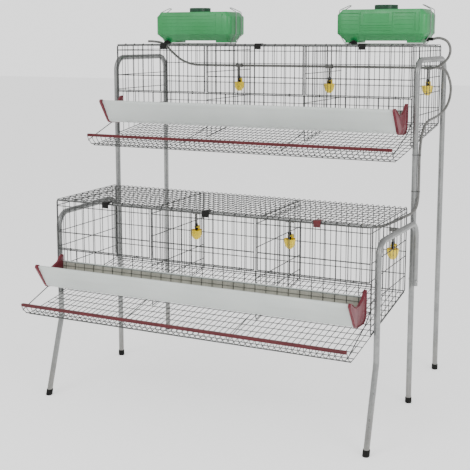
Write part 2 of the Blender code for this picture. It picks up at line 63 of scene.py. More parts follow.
# Finishes
def finishMaterial(name, colour, tint, rough=(0.35, 0.5), metal=0.0, blotch=9.0, streak=(30, 30, 3),
                   streakColour=None, streakAmount=0.25, grain=400.0, bump=0.0004, cells=0.0, lowDarkening=0.0):
    material = bpy.data.materials.new(name)
    material.use_nodes = True
    nodes, links = material.node_tree.nodes, material.node_tree.links
    shader = nodes["Principled BSDF"]
    coords = nodes.new("ShaderNodeTexCoord").outputs["Object"]

    def noise(scale, detail=4.0, vector=coords):
        texture = nodes.new("ShaderNodeTexNoise")
        texture.inputs["Scale"].default_value = scale
        texture.inputs["Detail"].default_value = detail
        links.new(vector, texture.inputs["Vector"])
        return texture.outputs["Fac"]

    def spread(value, low, high, outLow, outHigh):
        ranged = nodes.new("ShaderNodeMapRange")
        for socket, number in zip(("From Min", "From Max", "To Min", "To Max"), (low, high, outLow, outHigh)):
            ranged.inputs[socket].default_value = number
        links.new(value, ranged.inputs["Value"])
        return ranged.outputs["Result"]

    def blend(factor, first, second):
        mixed = nodes.new("ShaderNodeMix")
        mixed.data_type = "RGBA"
        links.new(factor, mixed.inputs["Factor"])
        for socket, value in (("A", first), ("B", second)):
            target = [s for s in mixed.inputs if s.name == socket and s.type == "RGBA"][0]
            if isinstance(value, tuple):
                target.default_value = (*value, 1.0)
            else:
                links.new(value, target)
        return [s for s in mixed.outputs if s.type == "RGBA"][0]

    blotches = noise(blotch)
    surface = blend(spread(blotches, 0.32, 0.68, 0.0, 1.0), colour, tint)
    mapping = nodes.new("ShaderNodeMapping")
    mapping.inputs["Scale"].default_value = streak
    links.new(coords, mapping.inputs["Vector"])
    streaks = noise(1.0, 6.0, mapping.outputs["Vector"])
    worn = streakColour or tuple(0.55 * c for c in colour)
    surface = blend(spread(streaks, 0.48, 0.75, 0.0, streakAmount), surface, worn)
    height = noise(grain, 2.0)
    if cells:
        spangle = nodes.new("ShaderNodeTexVoronoi")
        spangle.inputs["Scale"].default_value = cells
        links.new(coords, spangle.inputs["Vector"])
        tone = nodes.new("ShaderNodeSeparateColor")
        links.new(spangle.outputs["Color"], tone.inputs["Color"])
        bright = tuple(min(1, 1.5 * c) for c in colour)
        surface = blend(spread(tone.outputs["Red"], 0.0, 1.0, 0.0, 0.22), surface, bright)
    # darker and browner towards the bottom of the piece, fading out by 0.22 m up
    if lowDarkening:
        split = nodes.new("ShaderNodeSeparateXYZ")
        links.new(coords, split.inputs["Vector"])
        low = spread(split.outputs["Z"], 0.0, 0.22, lowDarkening, 0.0)
        surface = blend(low, surface, (0.22, 0.19, 0.15))
    links.new(surface, shader.inputs["Base Color"])
    links.new(spread(streaks, 0.3, 0.7, *rough), shader.inputs["Roughness"])
    shader.inputs["Metallic"].default_value = metal
    bumper = nodes.new("ShaderNodeBump")
    bumper.inputs["Strength"].default_value = 0.35
    bumper.inputs["Distance"].default_value = bump
    links.new(height, bumper.inputs["Height"])
    links.new(bumper.outputs["Normal"], shader.inputs["Normal"])
    return material


finishes = {
    "tube": finishMaterial("galvanisedTube", (0.29, 0.295, 0.29), (0.225, 0.23, 0.23), (0.26, 0.44), 0.60,
                           14, (90, 90, 5), None, 0.30, 700, 0.0003, 110, 0.30),
    "wire": finishMaterial("galvanisedWire", (0.084, 0.086, 0.084), (0.050, 0.052, 0.050), (0.34, 0.50), 0.35,
                           30, (160, 160, 40), (0.034, 0.032, 0.029), 0.35, 900, 0.0002),
    "bolt": finishMaterial("boltSteel", (0.46, 0.46, 0.45), (0.34, 0.34, 0.34), (0.24, 0.42), 0.85,
                           60, (200, 200, 60), None, 0.3, 900, 0.0002),
    "trough": finishMaterial("troughPlastic", (0.63, 0.67, 0.645), (0.57, 0.615, 0.59), (0.28, 0.42), 0.0,
                             5, (3, 26, 26), (0.46, 0.48, 0.45), 0.30, 500, 0.0002),
    # painted shade: a dark khaki finish for the thin sheet that stands in for the shaded inner rear wall of
    # each trough
    "shadeSheet": finishMaterial("paintedShadeSheet", (0.42, 0.41, 0.345), (0.34, 0.335, 0.28), (0.40, 0.55), 0.0,
                            22, (120, 30, 8), (0.22, 0.21, 0.17), 0.45, 500, 0.0003),
    "red": finishMaterial("redPlastic", (0.165, 0.022, 0.034), (0.120, 0.015, 0.024), (0.26, 0.40), 0.0,
                          26, (60, 60, 18), (0.070, 0.010, 0.014), 0.40, 600, 0.0003),
    "strip": finishMaterial("redStrip", (0.105, 0.010, 0.014), (0.075, 0.008, 0.011), (0.26, 0.42), 0.0,
                            18, (4, 90, 90), (0.16, 0.03, 0.032), 0.30, 600, 0.0003),
    "black": finishMaterial("blackPlastic", (0.006, 0.006, 0.006), (0.011, 0.011, 0.010), (0.38, 0.55), 0.0,
                            50, (80, 80, 80), (0.030, 0.028, 0.025), 0.30, 800, 0.0004),
    "tank": finishMaterial("tankPlastic", (0.016, 0.250, 0.062), (0.026, 0.290, 0.084), (0.30, 0.44), 0.0,
                           6, (18, 18, 3), (0.014, 0.165, 0.042), 0.30, 350, 0.0004),
    "tankCap": finishMaterial("tankCapPlastic", (0.003, 0.048, 0.019), (0.004, 0.068, 0.028), (0.30, 0.45),
                              0.0, 24, (60, 60, 20), (0.002, 0.032, 0.014), 0.35, 500, 0.0004),
    "yellow": finishMaterial("drinkerYellow", (0.98, 0.74, 0.018), (0.92, 0.66, 0.014), (0.28, 0.42), 0.0,
                             40, (90, 90, 40), (0.42, 0.27, 0.02), 0.35, 700, 0.0003),
    "hose": finishMaterial("hoseGrey", (0.155, 0.153, 0.145), (0.120, 0.118, 0.112), (0.38, 0.55), 0.0,
                           30, (60, 60, 60), (0.075, 0.072, 0.064), 0.35, 600, 0.0004),
}
for finishName, level in (("black", 0.15), ("strip", 0.35), ("red", 0.35)):  # duller than the glossy plastics
    finishes[finishName].node_tree.nodes["Principled BSDF"].inputs["Specular IOR Level"].default_value = level
print("finishes made:", len(finishes))


# Shared ways of working
def alone(piece):
    bpy.ops.object.select_all(action="DESELECT")
    piece.select_set(True)
    bpy.context.view_layer.objects.active = piece


def settle(piece, name, finish, body, nodes=(), smoothAngle=35):
    alone(piece)
    bpy.ops.object.transform_apply(location=True, rotation=True, scale=True)
    piece.name = piece.data.name = name
    piece.data.materials.clear()
    piece.data.materials.append(finishes[finish])
    bpy.ops.object.shade_smooth_by_angle(angle=math.radians(smoothAngle))
    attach(piece, body)
    if nodes:
        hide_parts(*nodes)
    bpy.ops.object.select_all(action="DESELECT")
    return piece


def merged(pieces):
    bpy.ops.object.select_all(action="DESELECT")
    for piece in pieces:
        piece.select_set(True)
    bpy.context.view_layer.objects.active = pieces[0]
    bpy.ops.object.join()
    return bpy.context.object


def modify(piece, kind, **values):
    alone(piece)
    bpy.ops.object.modifier_add(type=kind)
    modifier = piece.modifiers[-1]
    for key, value in values.items():
        setattr(modifier, key, value)
    bpy.ops.object.modifier_apply(modifier=modifier.name)


def roundCorners(corners, steps=6):
    path = []
    for k, (point, radius) in enumerate(corners):
        point = Vector(point)
        if not radius:
            path.append(point)
            continue
        back = (Vector(corners[k - 1][0]) - point).normalized()
        ahead = (Vector(corners[(k + 1) % len(corners)][0]) - point).normalized()
        half = back.angle(ahead) / 2
        centre = point + (back + ahead).normalized() * radius / math.sin(half)
        start = point + back * radius / math.tan(half) - centre
        end = point + ahead * radius / math.tan(half) - centre
        sweep = start.angle(end)
        for s in range(steps + 1):
            t = s / steps
            turned = start * math.sin((1 - t) * sweep) + end * math.sin(t * sweep)
            path.append(centre + turned / math.sin(sweep))
    return path


def wireWork(name, runs, radius, roundness=1, closed=False):
    curve = bpy.data.curves.new(name, "CURVE")
    curve.dimensions = "3D"
    curve.bevel_depth = radius
    curve.bevel_resolution = roundness
    curve.use_fill_caps = not closed
    for points, thickness in runs:
        spline = curve.splines.new("POLY")
        spline.points.add(len(points) - 1)
        for target, place in zip(spline.points, points):
            target.co = (*place, 1.0)
            target.radius = thickness
        spline.use_cyclic_u = closed
    rods = bpy.data.objects.new(name, curve)
    bpy.context.scene.collection.objects.link(rods)
    alone(rods)
    bpy.ops.object.convert(target="MESH")
    return bpy.context.object


# Water hoses first
hoseWork = {"radius": 0.006, "mainLength": 4.093, "feedLength": 0.276, "spigot": 0.0075, "spigotY": 0.290}


def hoseLine(points):
    points = [Vector(p) + Vector((0, bodyShift, 0)) for p in points]
    dense = []
    for k in range(len(points) - 1):
        p0, p1, p2 = points[max(k - 1, 0)], points[k], points[k + 1]
        p3 = points[min(k + 2, len(points) - 1)]
        span = (p2 - p1).length
        t0, t1 = (p2 - p0).normalized() * span, (p3 - p1).normalized() * span
        steps = max(2, round(span / 0.012)) if span < 0.1 else 6
        for s in range(steps):
            t = s / steps
            dense.append(p1 * (2 * t ** 3 - 3 * t ** 2 + 1) + t0 * (t ** 3 - 2 * t ** 2 + t)
                         + p2 * (3 * t ** 2 - 2 * t ** 3) + t1 * (t ** 3 - t ** 2))
    return dense + [points[-1]]


mainRoute = [(-0.764, 0.336, 1.611), (-0.739, 0.340, 1.611), (-0.684, 0.354, 1.600),
             (-0.642, 0.371, 1.558), (-0.592, 0.383, 1.516), (-0.529, 0.385, 1.494),
             (-0.464, 0.385, 1.490), (0.0, 0.385, 1.490), (0.560, 0.385, 1.490),
             (0.700, 0.385, 1.490), (0.746, 0.397, 1.491), (0.782, 0.429, 1.480),
             (0.7935, 0.4635, 1.444), (0.7975, 0.4935, 1.396), (0.7955, 0.4875, 1.348),
             (0.7905, 0.4515, 1.310), (0.7855, 0.3975, 1.288), (0.7835, 0.3275, 1.276),
             (0.7825, 0.250, 1.270), (0.7815, 0.160, 1.264), (0.7805, 0.098, 1.250),
             (0.7795, 0.054, 1.216), (0.7795, 0.028, 1.168), (0.7795, 0.018, 1.112),
             (0.7795, 0.018, 1.050), (0.7795, 0.018, 0.985), (0.7795, 0.013, 0.935),
             (0.7765, -0.008, 0.896), (0.7645, -0.044, 0.876), (0.7435, -0.086, 0.866),
             (0.712, -0.122, 0.850), (0.664, -0.142, 0.830), (0.600, -0.144, 0.821),
             (0.500, -0.144, 0.820), (0.0, -0.144, 0.820), (-0.660, -0.144, 0.820)]
feedRoute = [(0.753, 0.290, 1.622), (0.784, 0.292, 1.627), (0.817, 0.302, 1.613),
             (0.8295, 0.318, 1.580), (0.820, 0.334, 1.544), (0.792, 0.348, 1.513),
             (0.754, 0.360, 1.493), (0.720, 0.368, 1.490)]
for hoseName, route, hoseLength in (("mainHose", mainRoute, hoseWork["mainLength"]),
                                    ("feedHose", feedRoute, hoseWork["feedLength"])):
    hosePoints = hoseLine(route)
    hoseCurve = bpy.data.curves.new(hoseName, "CURVE")
    hoseCurve.dimensions = "3D"
    hoseCurve.bevel_depth = hoseWork["radius"]
    hoseCurve.bevel_resolution = 4
    hoseCurve.use_fill_caps = True
    hoseSpline = hoseCurve.splines.new("POLY")
    hoseSpline.points.add(len(hosePoints) - 1)
    hoseSpline.use_smooth = True
    for target, place in zip(hoseSpline.points, hosePoints):
        target.co = (*place, 1.0)
    hose = bpy.data.objects.new(hoseName, hoseCurve)
    bpy.context.scene.collection.objects.link(hose)
    hoseCurve.materials.append(finishes["hose"])
    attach(hose, standBody)
    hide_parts("hose_main" if hoseName == "mainHose" else "hose_feed")
    tuple(hosePoints[0])
spigotY = hoseWork["spigotY"] + bodyShift
spigotRuns = [([(0.722, spigotY, 1.6215), (0.757, spigotY, 1.6225)], 1.0),
              ([(0.7275, spigotY, 1.6216), (0.732, spigotY, 1.6218)], 1.5)]
spigot = wireWork("spigot", spigotRuns, hoseWork["spigot"], 4)
settle(spigot, "tankSpigot", "black", standBody, (), 40)

# Ties that hold the hose to the tall right leg
tieWork = {"high": {"upper": 1.125, "lower": 0.965}, "legX": 0.760, "hoseX": 0.7795, "y": 0.0178,
           "legRound": 0.0137, "hoseRound": 0.0072, "thick": 0.0011}
for tieName, tieHigh in tieWork["high"].items():
    legX, hoseX, tieY = tieWork["legX"], tieWork["hoseX"], tieWork["y"] + bodyShift
    legRound, hoseRound = tieWork["legRound"], tieWork["hoseRound"]
    band = [(legX + legRound * math.cos(a), tieY + legRound * math.sin(a), tieHigh)
            for a in (math.radians(70 + 20 * k) for k in range(12))]
    band += [(hoseX + hoseRound * math.cos(a), tieY + hoseRound * math.sin(a), tieHigh)
             for a in (math.radians(-70 + 20 * k) for k in range(8))]
    tie = wireWork("tie", [(band, 1.0)], tieWork["thick"], 2, True)
    settle(tie, "hoseTie_" + tieName, "black", standBody, (), 60)
print("hoses laid")

# Tube frames
tubeWork = {"radius": 0.0125, "x": 0.760, "bend": 0.065, "tall": (0.0175, 0.5055, 1.532),
            "low": (-0.491, 0.8325, 0.548), "splay": (0.346, -0.605), "pitch": 0.0258,
            "step": {"left": 0.0, "right": 0.019}, "start": 0.004}
for side, sign in (("left", -1), ("right", 1)):
    x = sign * tubeWork["x"]
    tallFront, tallRear, tallTop = tubeWork["tall"]
    lowFront, lowTop, lowEnd = tubeWork["low"]
    bend, start = tubeWork["bend"], tubeWork["start"]
    tallFront, tallRear, lowFront = tallFront + bodyShift, tallRear + bodyShift, lowFront + bodyShift
    tallPath = roundCorners([((x, tallFront, start), 0), ((x, tallFront, tallTop), bend),
                             ((x, tallRear, tallTop), bend), ((x, tallRear, start), 0)], 12)
    tall = wireWork("tall", [(tallPath, 1)], tubeWork["radius"], 7)
    settle(tall, "tallFrame_" + side, "tube", standBody, ["frame_tall_" + side])
    step = tubeWork["step"][side]
    rearX = sign * (tubeWork["x"] + step)
    rearY = tallFront - math.sqrt(tubeWork["pitch"] ** 2 - step ** 2)
    splayZ, splayFoot = tubeWork["splay"]
    splayFoot += bodyShift
    lean = (lowFront - splayFoot) / splayZ
    lowPath = roundCorners([((rearX, rearY, lowEnd), 0), ((rearX, rearY, lowTop), bend),
                            ((x, lowFront, lowTop), bend), ((x, lowFront, splayZ), 0.09),
                            ((x, splayFoot + lean * start, start), 0)], 12)
    low = wireWork("low", [(lowPath, 1)], tubeWork["radius"], 7)
    settle(low, "lowFrame_" + side, "tube", standBody, ["frame_front_" + side])
print("tube frames bent")

# Cage wire
cageWork = {"half": 0.742, "fine": 0.0017, "front": 0.0019, "rail": 0.0026, "columns": 60,
            "wallRows": (0.028, 0.150, 0.220, 0.310), "dividerRows": (0.030, 0.130, 0.262, 0.330),
            "roofRows": (0.050, 0.100, 0.150, 0.200, 0.250, 0.300, 0.350, 0.400, 0.450),
            "backRows": (0.012, 0.100, 0.200, 0.300), "trayRows": 14, "trayPitch": 0.052,
            "wallX": 0.744, "dividerX": 0.24867, "ringReach": 0.175, "doorPitch": 0.49733, "halfDoor": 0.2405,
            "floorDrop": 0.379, "lowPoint": (-0.214, -0.475), "slope": 0.1328, "hook": 0.012,
            "curl": ((-0.241, -0.468), (-0.262, -0.450), (-0.270, -0.438), (-0.273, -0.430)),
            "sideColumns": (0.006, 0.05, 0.10, 0.15, 0.20, 0.25, 0.30, 0.35, 0.42, 0.465, 0.492)}


def floorDrop(dy):
    return cageWork["lowPoint"][1] + cageWork["slope"] * (dy - cageWork["lowPoint"][0])


def buildCage(tier):
    top, front = tiers[tier]["top"], tiers[tier]["front"]
    half, fine, rail = cageWork["half"], cageWork["fine"], cageWork["rail"] / cageWork["fine"]
    frontThick = cageWork["front"] / cageWork["fine"]
    count = cageWork["columns"]
    columns = [half * (2 * k / count - 1) for k in range(count + 1)]

    def across(dy, dz, thickness=1.0):
        return [(-half, front + dy, top + dz), (half, front + dy, top + dz)], thickness

    # Roof running over into the back
    runs = []
    for x in columns:
        bent = roundCorners([((x, front + 0.004, top - 0.0016), 0), ((x, front + 0.498, top - 0.0016), 0.012),
                             ((x, front + 0.498, top - cageWork["floorDrop"]), 0)], 4)
        runs.append((bent, 1.0))
    runs += [across(dy, -0.0040) for dy in cageWork["roofRows"]]
    runs += [across(0.4955, -drop, 1.2) for drop in cageWork["backRows"]]
    runs.append(across(0.4955, -0.377, rail))
    settle(wireWork("roof", runs, fine), "roofAndBack_" + tier, "wire", standBody,
           ["roof_back_" + tier], 60)
    runs = [across(0.0065, -0.0042, rail), across(0.0125, -0.0040, 1.2)]
    settle(wireWork("rails", runs, fine), "roofFrontRails_" + tier, "tube", standBody,
           (), 60)

    # Side walls and dividers
    wallX, dividerX = cageWork["wallX"], cageWork["dividerX"]
    walls = (("side_left", -wallX, 1, False), ("side_right", wallX, -1, False),
             ("divider_left", -dividerX, -1, True), ("divider_right", dividerX, 1, True))
    for name, x, out, isDivider in walls:
        deep = 0.494 if isDivider else 0.497
        begin = 0.005 if isDivider else 0.003
        rows = cageWork["dividerRows"] if isDivider else cageWork["wallRows"]
        runs = []
        for dy in cageWork["sideColumns"]:
            if begin < dy < deep + 0.001:
                foot = top + floorDrop(dy) + 0.006
                runs.append(([(x, front + dy, top - 0.007), (x, front + dy, foot)], 1.0))
        shift = x + out * 0.0026
        for drop in rows:
            runs.append(([(shift, front + begin, top - drop), (shift, front + deep, top - drop)], 1.15))
        edge = [((x, front + begin, top - 0.0085), 0.006), ((x, front + deep - 0.002, top - 0.0085), 0.006),
                ((x, front + deep - 0.002, top + floorDrop(deep) + 0.0085), 0.006),
                ((x, front + begin, top + floorDrop(begin) + 0.0085), 0.006)]
        ring = roundCorners(edge, 3)
        runs.append((ring + [ring[0]], 1.35))
        wallName = name.replace("_", "Wall_") + "_" + tier
        settle(wireWork(name, runs, fine), wallName, "wire", standBody,
               [name + "_" + tier], 60)

    # Floor with its curled egg tray, and the stays that hold the tray up
    runs = []
    for x in columns:
        path = [(x, front + 0.492, top + floorDrop(0.492)), (x, front - 0.196, top + floorDrop(-0.196)),
                (x, front - 0.218, top - 0.4745)]
        path += [(x, front + dy, top + dz) for dy, dz in cageWork["curl"]]
        runs.append((path, 1.0))
    for k in range(cageWork["trayRows"]):
        dy = 0.488 - cageWork["trayPitch"] * k
        runs.append(across(dy, floorDrop(dy) - 0.0027, 1.0))
    runs += [across(-0.222, -0.4772, 1.2), across(-0.2475, -0.4665, 1.0)]
    for x in (-half, half):
        stay = [(x, front + 0.002, top - 0.343), (x, front - 0.060, top - 0.380),
                (x, front - 0.262, top - 0.447), (x, front - 0.2655, top - 0.4515)]
        runs.append((stay, 1.35))
    for x in (-0.2487, 0.2487):
        stay = roundCorners([((x, front + 0.004, top - 0.348), 0), ((x, front + 0.004, top - 0.391), 0.01),
                             ((x, front - 0.267, top - 0.4475), 0)], 4)
        runs.append((stay, 1.2))
    settle(wireWork("floor", runs, fine), "floorAndTray_" + tier, "wire", standBody,
           ["floor_" + tier], 60)

    # Fixed lower front, with two rings on its top wire under each door
    runs = [across(0.0, -0.231, rail), across(0.0, -0.3430, rail)]
    frontColumns = [half * (2 * k / 30 - 1) for k in range(31)]
    for x in frontColumns:
        upright = [(x, front + 0.0026, top - 0.2300), (x, front + 0.0026, top - 0.3440)]
        runs.append((upright, frontThick))
    for middle in (-0.4973, 0.0, 0.4973):
        for offset in (-cageWork["ringReach"], cageWork["ringReach"]):
            ring = [(middle + offset, front + 0.0056 * math.cos(a), top - 0.2280 + 0.0064 * math.sin(a))
                    for a in (2 * math.pi * k / 12 for k in range(13))]
            runs.append((ring, 0.8))
    settle(wireWork("grille", runs, fine), "frontGrille_" + tier, "wire", standBody,
           ["front_grille_" + tier], 60)

    # Doors, hooked over the roof's front rail
    for k, place in enumerate(("left", "middle", "right")):
        middle, halfDoor = (k - 1) * cageWork["doorPitch"], cageWork["halfDoor"]
        runs = []
        for drop, thickness in ((0.0065, 1.2), (0.030, 1.15), (0.150, 1.5), (0.225, 1.4)):
            y = front if drop in (0.0065, 0.225) else front - 0.0024
            runs.append(([(middle - halfDoor, y, top - drop), (middle + halfDoor, y, top - drop)], thickness))
        for column in range(-4, 5):
            x = middle + 0.050 * column
            hooked = roundCorners([((x, front, top - 0.2265), 0), ((x, front, top + 0.0022), 0.0085),
                                   ((x, front + cageWork["hook"], top + 0.0022), 0)], 4)
            runs.append((hooked, frontThick))
        for x in (middle - halfDoor, middle + halfDoor):
            runs.append(([(x, front, top - 0.2265), (x, front, top - 0.0045)], 1.4))
        settle(wireWork("door", runs, fine), "door_" + place + "_wires_" + tier, "wire",
               "door_" + place + "_" + tier + "_body", ["door_" + place + "_" + tier], 60)


for tierName in tiers:
    buildCage(tierName)
print("cage wire laid")

# Feed troughs
troughWork = {"x": 0.006, "half": 0.712, "wall": 0.0026, "shadeSheetWall": 0.0012,
              "pitch": 0.0495, "guard": 0.0012,
              "profile": ((-0.1865, -0.2735), (-0.1862, -0.2675), (-0.1895, -0.2650), (-0.1935, -0.2660),
                          (-0.1945, -0.2700), (-0.1900, -0.2785), (-0.1460, -0.3520), (-0.1390, -0.3630),
                          (-0.1290, -0.3695), (-0.1180, -0.3715), (-0.0450, -0.3760), (-0.0300, -0.3735),
                          (-0.0180, -0.3655), (-0.0125, -0.3540), (-0.0085, -0.2820), (-0.0100, -0.2790),
                          (-0.0130, -0.2790), (-0.0145, -0.2815)),
              # profile of the thin dark sheet that paints shade on the trough's inner rear wall
              "shadeSheet": ((-0.0138, -0.2860), (-0.0172, -0.3540), (-0.0230, -0.3640)),
              "cap": ((-0.2060, -0.2720), (-0.2035, -0.2620), (-0.1960, -0.2595), (-0.1890, -0.2610),
                      (-0.1550, -0.2820), (-0.1290, -0.2940), (-0.0950, -0.2940), (-0.0475, -0.2780),
                      (-0.0320, -0.2600), (-0.0220, -0.2530), (-0.0120, -0.2505), (-0.0055, -0.2535),
                      (-0.0045, -0.3480), (-0.0085, -0.3620), (-0.0200, -0.3740), (-0.0400, -0.3820),
                      (-0.1230, -0.3760), (-0.1350, -0.3710), (-0.1470, -0.3570)),
              "capThick": 0.012, "capGap": 0.0005, "capMiddle": (-0.080, -0.335),
              "rim": 0.94, "recess": 0.0030}


def foldSheet(profile, x0, x1, place):
    front, top = place
    startY, startZ = front + profile[0][0], top + profile[0][1]
    bpy.ops.mesh.primitive_plane_add(size=x1 - x0, location=((x0 + x1) / 2, startY, startZ))
    sheet = bpy.context.object
    bpy.ops.object.transform_apply(location=True, rotation=True, scale=True)
    bpy.ops.object.mode_set(mode="EDIT")
    bpy.ops.mesh.select_all(action="SELECT")
    bpy.ops.transform.resize(value=(1, 0, 1), center_override=((x0 + x1) / 2, startY, 0))
    bpy.ops.mesh.remove_doubles(threshold=0.0001)
    bpy.ops.mesh.select_mode(type="EDGE")
    bpy.ops.mesh.select_all(action="SELECT")
    for (y0, z0), (y1, z1) in zip(profile, profile[1:]):
        bpy.ops.mesh.extrude_region_move(TRANSFORM_OT_translate={"value": (0, y1 - y0, z1 - z0)})
    bpy.ops.object.mode_set(mode="OBJECT")
    return sheet


def flatOutline(name, outline, thickness, rounding, place):
    curve = bpy.data.curves.new(name, "CURVE")
    curve.dimensions = "2D"
    curve.fill_mode = "BOTH"
    curve.extrude = thickness / 2
    spline = curve.splines.new("POLY")
    spline.points.add(len(outline) - 1)
    for target, (a, b) in zip(spline.points, outline):
        target.co = (a, b, 0, 1)
    spline.use_cyclic_u = True
    plate = bpy.data.objects.new(name, curve)
    bpy.context.scene.collection.objects.link(plate)
    alone(plate)
    bpy.ops.object.convert(target="MESH")
    plate = bpy.context.object
    plate.rotation_euler = (math.pi / 2, 0, math.pi / 2)
    plate.location = place
    bpy.ops.object.transform_apply(location=True, rotation=True, scale=True)
    bpy.ops.object.mode_set(mode="EDIT")
    bpy.ops.mesh.select_all(action="SELECT")
    bpy.ops.mesh.remove_doubles(threshold=0.00002)
    bpy.ops.mesh.dissolve_limited(angle_limit=0.02)
    bpy.ops.mesh.normals_make_consistent(inside=False)
    bpy.ops.object.mode_set(mode="OBJECT")
    modify(plate, "BEVEL", width=rounding, segments=2, limit_method="ANGLE", angle_limit=math.radians(60))
    return plate


def selectFaces(piece, test):
    bpy.ops.object.mode_set(mode="EDIT")
    bpy.ops.mesh.select_mode(type="FACE")
    bpy.ops.mesh.select_all(action="DESELECT")
    bpy.ops.object.mode_set(mode="OBJECT")
    for face in piece.data.polygons:
        face.select = bool(test(face))
    bpy.ops.object.mode_set(mode="EDIT")


def roundBlock(low, high, bevel=0.001, segments=2):
    low, high = Vector(low), Vector(high)
    bpy.ops.mesh.primitive_cube_add(size=1, location=(low + high) / 2, scale=high - low)
    block = bpy.context.object
    bpy.ops.object.transform_apply(location=True, rotation=True, scale=True)
    modify(block, "BEVEL", width=bevel, segments=segments, limit_method="ANGLE")
    return block


def turnedPiece(profile, centre, sides=32):
    radius, height = profile[0]
    bpy.ops.mesh.primitive_circle_add(vertices=sides, radius=radius, fill_type="NGON",
                                      location=(centre[0], centre[1], centre[2] + height))
    piece = bpy.context.object
    bpy.ops.object.transform_apply(location=True, rotation=True, scale=True)
    bpy.ops.object.mode_set(mode="EDIT")
    bpy.ops.mesh.select_mode(type="FACE")
    bpy.ops.mesh.select_all(action="SELECT")
    for (r0, h0), (r1, h1) in zip(profile, profile[1:]):
        bpy.ops.mesh.extrude_region_move(TRANSFORM_OT_translate={"value": (0, 0, h1 - h0)})
        bpy.ops.transform.resize(value=(r1 / r0, r1 / r0, 1),
                                 center_override=(centre[0], centre[1], centre[2] + h1))
    bpy.ops.mesh.select_all(action="SELECT")
    bpy.ops.mesh.normals_make_consistent(inside=False)
    bpy.ops.object.mode_set(mode="OBJECT")
    return piece


def buildTrough(tier):
    top, front = tiers[tier]["top"], tiers[tier]["front"]
    x, half = troughWork["x"], troughWork["half"]
    body = "trough_" + tier + "_body"
    shell = foldSheet(troughWork["profile"], x - half, x + half, (front, top))
    modify(shell, "SOLIDIFY", thickness=troughWork["wall"], offset=0.0)
    modify(shell, "BEVEL", width=0.0008, segments=2, limit_method="ANGLE", angle_limit=math.radians(50))
    settle(shell, "troughShell_" + tier, "trough", body, ["trough_" + tier], 40)
    # a thin dark sheet just inside the trough's rear wall: painted shade over the inner rear wall, which the
    # guard wires lie on
    shadeSheet = foldSheet(troughWork["shadeSheet"], x - half + 0.002, x + half - 0.002, (front, top))
    modify(shadeSheet, "SOLIDIFY", thickness=troughWork["shadeSheetWall"], offset=0.0)
    settle(shadeSheet, "troughShadeSheet_" + tier, "shadeSheet", body)
    (y0, z0), (y1, z1) = troughWork["shadeSheet"][:2]
    guards = []
    for k in range(-14, 15):
        guardX = x + k * troughWork["pitch"]
        guards.append(([(guardX, front + y0 - 0.0022, top + z0 + 0.004),
                        (guardX, front + y1 - 0.0022, top + z1)], 1.0))
    railY, railZ = front + y0 - 0.0040, top - 0.300
    guards.append(([(x - half + 0.004, railY, railZ), (x + half - 0.004, railY, railZ)], 0.8))
    settle(wireWork("guards", guards, troughWork["guard"]), "troughGuardWires_" + tier, "wire", body,
           (), 60)
    for side, sign in (("left", -1), ("right", 1)):
        inner = x + sign * (half + troughWork["capGap"])
        middle = inner + sign * troughWork["capThick"] / 2
        cap = flatOutline("cap", troughWork["cap"], troughWork["capThick"], 0.0014, (middle, front, top))
        outer = middle + sign * (troughWork["capThick"] / 2)
        selectFaces(cap, lambda face: abs(face.center.x - outer) < 0.0003 and abs(face.normal.x) > 0.9)
        centre = (outer, front + troughWork["capMiddle"][0], top + troughWork["capMiddle"][1])
        for shrink, sink in ((troughWork["rim"], 0), (0.99, troughWork["recess"])):
            bpy.ops.mesh.extrude_region_move(TRANSFORM_OT_translate={"value": (-sign * sink, 0, 0)})
            bpy.ops.transform.resize(value=(1, shrink, shrink), center_override=centre)
        bpy.ops.mesh.select_all(action="SELECT")
        bpy.ops.mesh.normals_make_consistent(inside=False)
        bpy.ops.object.mode_set(mode="OBJECT")
        # clip ear that hooks over the cage wire
        ear = roundBlock((min(inner, outer) - 0.001, front - 0.0185, top - 0.262),
                         (max(inner, outer) + 0.001, front - 0.0075, top - 0.2515), 0.002, 3)
        cap = merged([cap, ear])
        settle(cap, "troughEnd_" + side + "_" + tier, "red", body,
               ["trough_cap_" + side + "_" + tier], 40)


for tierName in tiers:
    buildTrough(tierName)
print("troughs folded")

# Red edging on the egg trays
stripWork = {"rounding": 0.0028, "rim": 0.0022, "grooveWall": 0.0008, "grooveDeep": 0.0009}
for tierName in tiers:
    low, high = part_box("egg_strip_" + tierName)
    strip = roundBlock(low, high, stripWork["rounding"], 3)
    selectFaces(strip, lambda face: face.normal.y < -0.9 and face.area > 0.005)
    bpy.ops.mesh.inset(thickness=stripWork["rim"], depth=0)
    bpy.ops.mesh.inset(thickness=stripWork["grooveWall"], depth=-stripWork["grooveDeep"])
    bpy.ops.object.mode_set(mode="OBJECT")
    settle(strip, "trayEdging_" + tierName, "strip", standBody, ["egg_strip_" + tierName], 40)

# Door latches
latchWork = {"plate": 0.0042, "tongue": 0.0047, "rounding": 0.0012, "ridges": 3, "ridgePitch": 0.0034,
             "ridgeHalf": 0.010, "ridgeRounding": 0.0004}
for tierName in tiers:
    for place in ("left", "middle", "right"):
        node = "latch_" + place + "_" + tierName
        low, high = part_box(node)
        x, rounding = (low.x + high.x) / 2, latchWork["rounding"]
        plate = roundBlock(low, (high.x, low.y + latchWork["plate"], high.z), rounding)
        tongue = roundBlock((low.x + 0.002, low.y + 0.001, high.z - latchWork["tongue"]),
                            (high.x - 0.002, high.y, high.z), rounding)
        ridges = []
        for k in range(latchWork["ridges"]):
            rise, reach = latchWork["ridgePitch"] * k, latchWork["ridgeHalf"]
            ridges.append(roundBlock((x - reach, low.y - 0.0004, low.z + 0.003 + rise),
                                     (x + reach, low.y + 0.0012, low.z + 0.0046 + rise),
                                     latchWork["ridgeRounding"]))
        finish = "strip" if node == "latch_right_lower" else "black"
        settle(merged([plate, tongue] + ridges), "doorLatch_" + place + "_" + tierName, finish,
               node + "_body", [node], 40)
print("latches and edging set")

